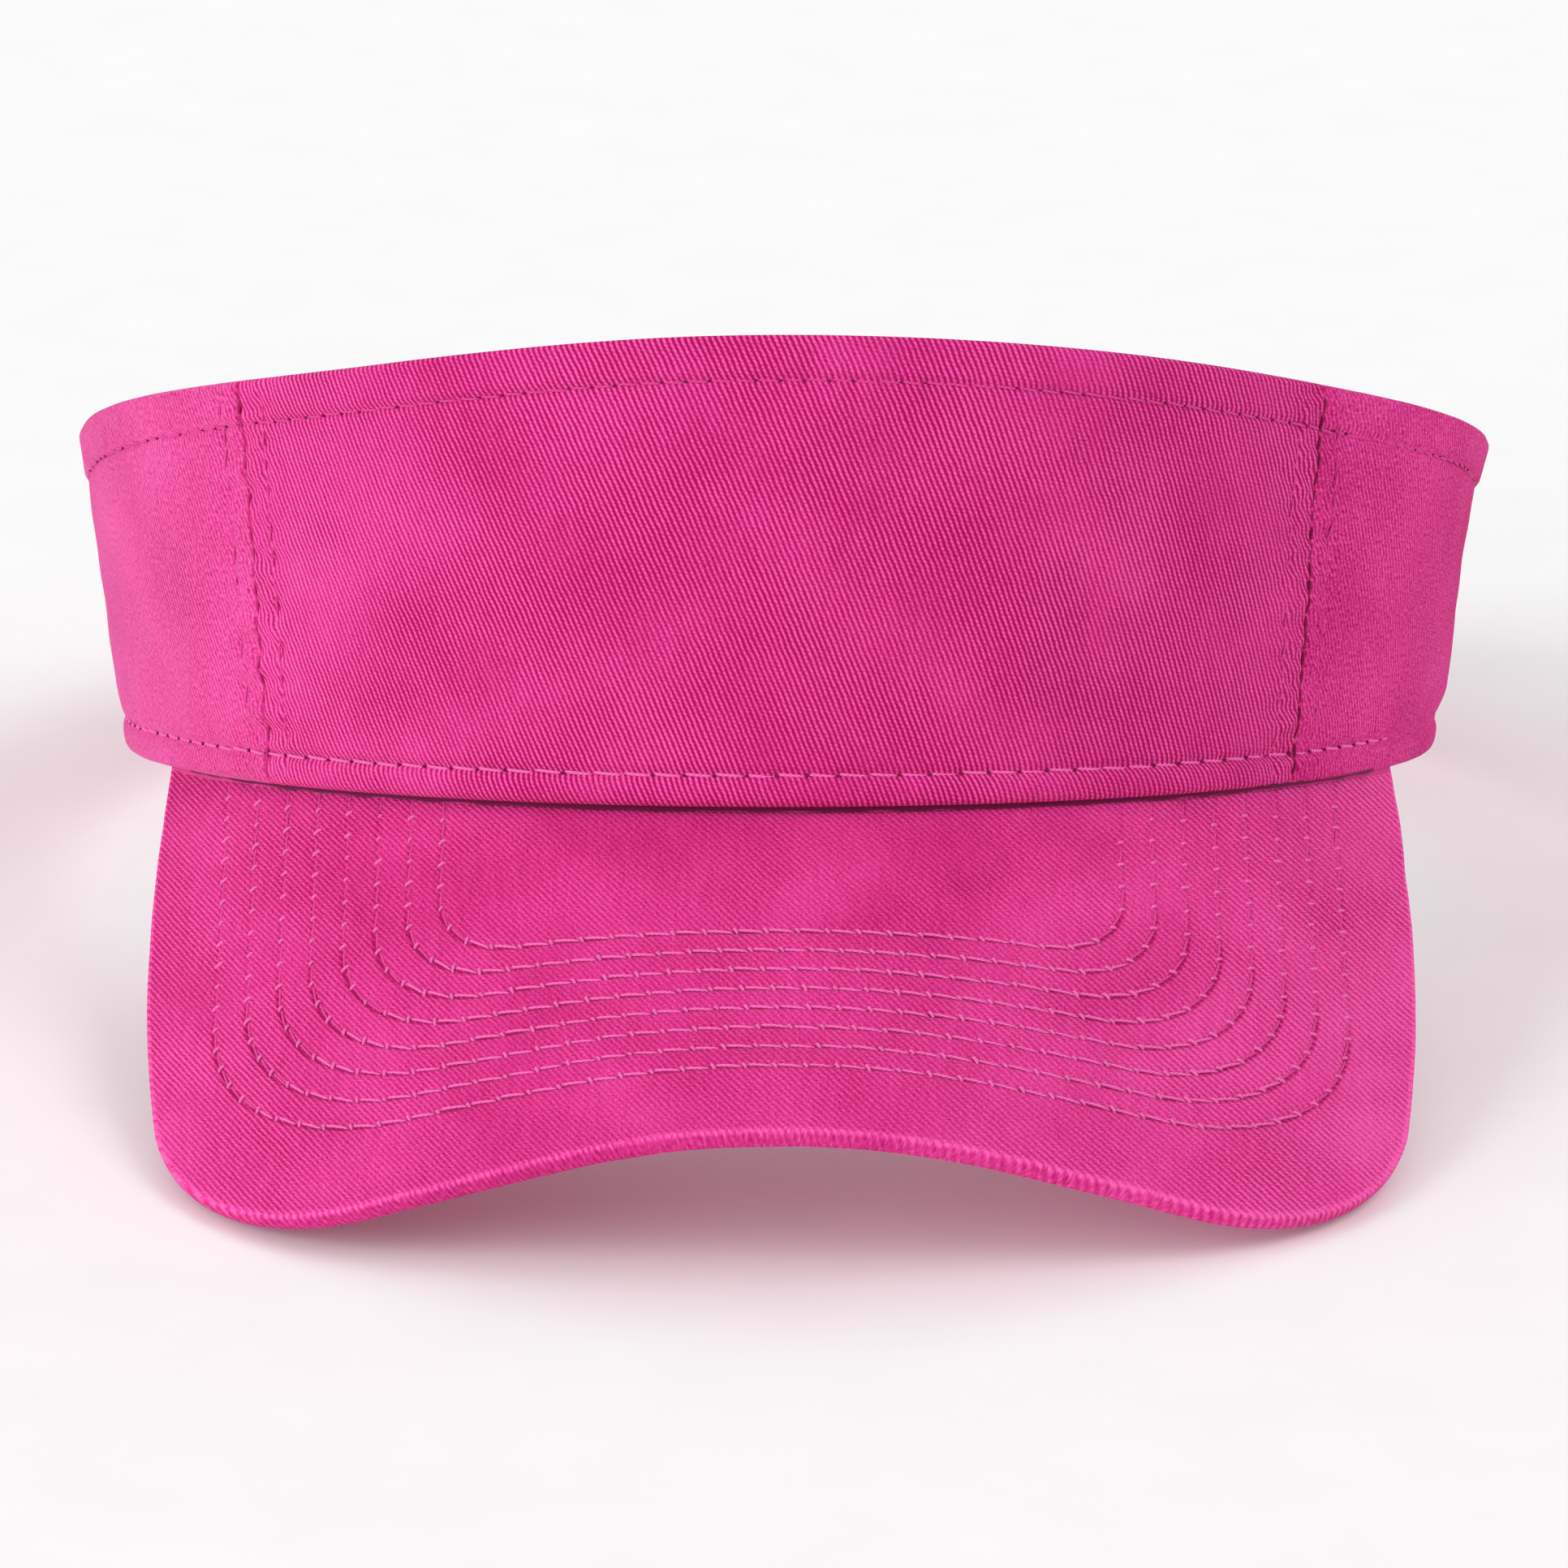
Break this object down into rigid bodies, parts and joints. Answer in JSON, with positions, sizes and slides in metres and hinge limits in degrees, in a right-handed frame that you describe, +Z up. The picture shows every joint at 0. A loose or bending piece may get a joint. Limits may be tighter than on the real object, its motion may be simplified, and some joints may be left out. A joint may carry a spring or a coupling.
{
  "type": "sun visor",
  "caption": "Fabric sun visor with an open crown, a curved stitched brim, a sweatband and a touch-fastener strap at the back.",
  "frame": {"origin": "middle of the bounding box at table height", "axes": "+Z up, the brim points to -Y, the wearer's left is +X"},
  "size_m": [0.2056, 0.2546, 0.1131],
  "materials": {
    "twill_panel": "cotton twill, pink, right side out",
    "twill_side": "cotton twill, pink, softly brushed",
    "twill_brim": "cotton twill stretched over the brim board",
    "twill_under": "cotton twill, underside of the brim",
    "thread_pink": "polyester sewing thread, slight sheen",
    "buckram": "stiff open-weave buckram",
    "facing": "turned-in hem, twill",
    "binding_tape": "woven binding tape",
    "sweatband_cloth": "brushed cotton",
    "felt": "needled felt strip",
    "brim_board": "polyethylene board, matt",
    "strap_twill": "cotton twill, two layers",
    "hook_tape": "touch fastener, hook side",
    "loop_tape": "touch fastener, loop side",
    "label": "blank woven label, satin"
  },
  "bodies": {
    "band": {"front_panel": "twill_panel", "left_side_panel": "twill_side", "right_side_panel": "twill_side", "front_interlining": "buckram", "top_facing": "facing", "seam_tape_left": "binding_tape", "seam_tape_right": "binding_tape", "brim_root_tape": "binding_tape", "sweatband_cover": "sweatband_cloth", "sweatband_core": "felt", "care_label": "label", "brim_top_cover": "twill_brim", "brim_bottom_cover": "twill_under", "brim_board": "brim_board", "brim_stitching": "thread_pink", "top_hem_stitching": "thread_pink", "bottom_edge_stitching": "thread_pink", "seam_stitching_left": "thread_pink", "seam_stitching_right": "thread_pink", "inner_strap": "strap_twill", "hook_tape": "hook_tape"},
    "strap_slide": {"outer_strap_root": "strap_twill"},
    "strap_flap": {"outer_strap": "strap_twill", "loop_tape": "loop_tape", "strap_stitching": "thread_pink"}
  },
  "joints": [
    {"name": "strap_slide", "type": "hinge", "parent": "band", "child": "strap_slide", "pos_m": [0, 0.02613, 0.02206], "axis": [0, 0.2626, 0.9649], "range_deg": [0, 24]},
    {"name": "strap_flap", "type": "hinge", "parent": "strap_slide", "child": "strap_flap", "pos_m": [0.04695, 0.11583, 0.02097], "axis": [0, 0, -1], "range_deg": [0, 70]}
  ]
}
